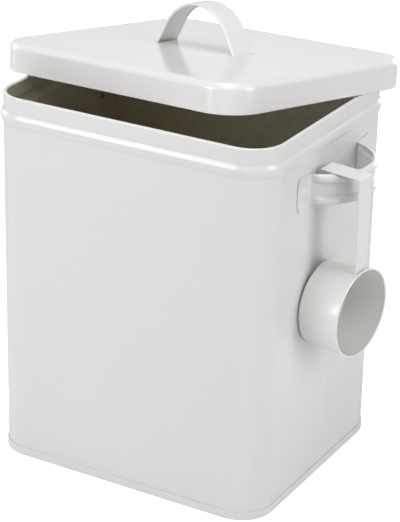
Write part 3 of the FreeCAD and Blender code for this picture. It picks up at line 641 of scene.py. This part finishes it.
def makeHook(k, c):
    thick, half, front = k["gauge"], k["width"] / 2, -k["back"]
    edge, slope = cupWall(c)
    root = edge - (k["back"] - c["bead"] / 2) * slope + k["gap"]
    foot, rear = root + k["gap"], front - thick
    piece = drawOutline("scoopHook", [(rear, -half), (front, -half), (front, half), (rear, half)], plane="XY")
    bpy.ops.transform.translate(value=(0, 0, foot * mm))
    outer, top = k["bend"] + thick, k["rise"]
    run((0, 0, (top - outer - foot) * mm))
    turn(((rear - k["bend"]) * mm, 0, (top - outer) * mm), (0, 1, 0), -90, 6)
    lip = -c["depth"] - k["behind"]
    run((-(front - lip - 2 * outer) * mm, 0, 0))
    turn(((lip + outer) * mm, 0, (top - outer) * mm), (0, 1, 0), -90, 6)
    run((0, 0, -(k["lip"] - outer) * mm))
    closeUp(fill=True)
    bpy.ops.object.mode_set(mode="OBJECT")
    tip = root - k["tongueLength"] * slope
    tongue = drawOutline("tongue", [
        (front, root), (front, root + thick),
        (front - k["tongueLength"], tip + thick), (front - k["tongueLength"], tip),
    ])
    spread = 2 * math.degrees(math.asin(k["tongue"] / 2 / c["mouth"]))
    halfSpread = Matrix.Rotation(-math.radians(spread) / 2, 4, "X")
    bpy.ops.object.mode_set(mode="OBJECT")
    tongue.data.transform(halfSpread)
    bpy.ops.object.mode_set(mode="EDIT")
    bpy.ops.mesh.select_all(action="SELECT")
    turn((0, 0, 0), (1, 0, 0), spread, 8)
    closeUp(fill=True)
    bpy.ops.object.mode_set(mode="OBJECT")
    joinPieces(piece, tongue)
    piece.data.materials.append(scoopEnamelWithPaintedLight)
    return finishPiece(piece, "scoop", ["scoop_hook"], scoopSeat, soften=0.15)


makeCup(cup)
makeHook(hook, cup)
print("scoop made")


# Floor, light and camera.

stage = {
    "floorHalf": 6.0, "floorColour": (0.93, 0.93, 0.93), "floorLift": 0.6, "nearFloor": 0.4, "farFloor": 1.4,
    "worldLight": 0.08,
}
# Each lamp is a place, what it is aimed at, its size and its power.
lamps = {
    "sideLamp": ((1.35, 0.0, 0.5), (0.12, 0, 0.22), 0.7, 5.0),
    "highSideLamp": ((1.15, -0.05, 0.95), (0.12, 0, 0.22), 0.7, 2.8),
    "topLamp": ((0.35, -0.75, 1.3), (0, 0, 0.25), 0.9, 5.4),
    "frontLamp": ((-0.55, -1.2, 0.6), (0, 0, 0.25), 0.8, 8.0),
    "overheadLamp": ((-0.1, 0.1, 1.6), (0, 0, 0.3), 0.9, 7.8),
    "backLamp": ((0.25, 1.7, 0.3), (0, 0, 0.15), 1.0, 7),
    "leftLamp": ((-1.7, 0.1, 0.4), (0, 0, 0.15), 1.0, 6),
}
view = {
    "azimuth": 29.45, "elevation": 23.871, "roll": 1.335, "distance": 1663.78, "focusHeight": 152.475,
    "right": 7.909, "up": 2.994, "focalPixels": 2076.475, "longSide": 522, "sensor": 36.0,
}


def makeFloor(s):
    deselectAll()
    size = 2 * s["floorHalf"]
    bpy.ops.mesh.primitive_grid_add(x_subdivisions=4, y_subdivisions=4, size=size, location=(0, 0, 0))
    floor = bpy.context.object
    floor.name = "studioFloor"
    material, nodes, links, shader = newMaterial("paperFloor")
    shader.inputs["Base Color"].default_value = (*s["floorColour"], 1)
    shader.inputs["Roughness"].default_value = 0.9
    shader.inputs["Emission Color"].default_value = (1, 1, 1, 1)
    place = nodes.new("ShaderNodeTexCoord")
    away = nodes.new("ShaderNodeVectorMath")
    away.operation = "LENGTH"
    links.new(place.outputs["Object"], away.inputs[0])
    farther = nodes.new("ShaderNodeMapRange")
    farther.inputs["From Min"].default_value = s["nearFloor"]
    farther.inputs["From Max"].default_value = s["farFloor"]
    farther.inputs["To Min"].default_value = s["floorLift"]
    farther.inputs["To Max"].default_value = 1.0
    links.new(away.outputs["Value"], farther.inputs["Value"])
    seen = nodes.new("ShaderNodeLightPath")
    lift = nodes.new("ShaderNodeMath")
    lift.operation = "MULTIPLY"
    links.new(farther.outputs["Result"], lift.inputs[1])
    links.new(seen.outputs["Is Camera Ray"], lift.inputs[0])
    links.new(lift.outputs["Value"], shader.inputs["Emission Strength"])
    floor.data.materials.append(material)


def makeWorld(s):
    world = bpy.data.worlds.new("studioAir")
    bpy.context.scene.world = world
    world.use_nodes = True
    nodes, links = world.node_tree.nodes, world.node_tree.links
    background = nodes["Background"]
    background.inputs["Color"].default_value = (1, 1, 1, 1)
    seen = nodes.new("ShaderNodeLightPath")
    either = seen.outputs["Is Camera Ray"]
    for kind in ("Is Glossy Ray", "Is Transmission Ray"):
        larger = nodes.new("ShaderNodeMath")
        larger.operation = "MAXIMUM"
        links.new(either, larger.inputs[0])
        links.new(seen.outputs[kind], larger.inputs[1])
        either = larger.outputs["Value"]
    strength = nodes.new("ShaderNodeMapRange")
    strength.inputs["To Min"].default_value = s["worldLight"]
    strength.inputs["To Max"].default_value = 1.0
    links.new(either, strength.inputs["Value"])
    links.new(strength.outputs["Result"], background.inputs["Strength"])


def makeLamp(name, place, aim, size, power):
    lamp = bpy.data.objects.new(name, bpy.data.lights.new(name, "AREA"))
    lamp.data.shape = "DISK"
    lamp.data.size = size
    lamp.data.energy = power
    lamp.location = place
    lamp.rotation_euler = (Vector(aim) - Vector(place)).to_track_quat("-Z", "Y").to_euler()
    bpy.context.scene.collection.objects.link(lamp)


def makeCamera(v):
    azimuth, elevation, roll = (math.radians(v[key]) for key in ("azimuth", "elevation", "roll"))
    back = Vector((math.sin(azimuth) * math.cos(elevation), -math.cos(azimuth) * math.cos(elevation),
                   math.sin(elevation)))
    right = Vector((math.cos(azimuth), math.sin(azimuth), 0))
    up = back.cross(right)
    right, up = (right * math.cos(roll) + up * math.sin(roll), up * math.cos(roll) - right * math.sin(roll))
    place = Vector((0, 0, v["focusHeight"])) + back * v["distance"] + right * v["right"] + up * v["up"]
    camera = bpy.data.objects.new("photoCamera", bpy.data.cameras.new("photoCamera"))
    camera.matrix_world = Matrix.Translation(place * mm) @ Matrix((right, up, back)).transposed().to_4x4()
    camera.data.sensor_width = v["sensor"]
    camera.data.lens = v["focalPixels"] / v["longSide"] * v["sensor"]
    camera.data.clip_start, camera.data.clip_end = 0.05, 50
    bpy.context.scene.collection.objects.link(camera)
    bpy.context.scene.camera = camera


makeFloor(stage)
makeWorld(stage)
for name, (place, aim, size, power) in lamps.items():
    makeLamp(name, place, aim, size, power)
makeCamera(view)
bpy.context.scene.view_settings.view_transform = "Standard"
print("stage made")
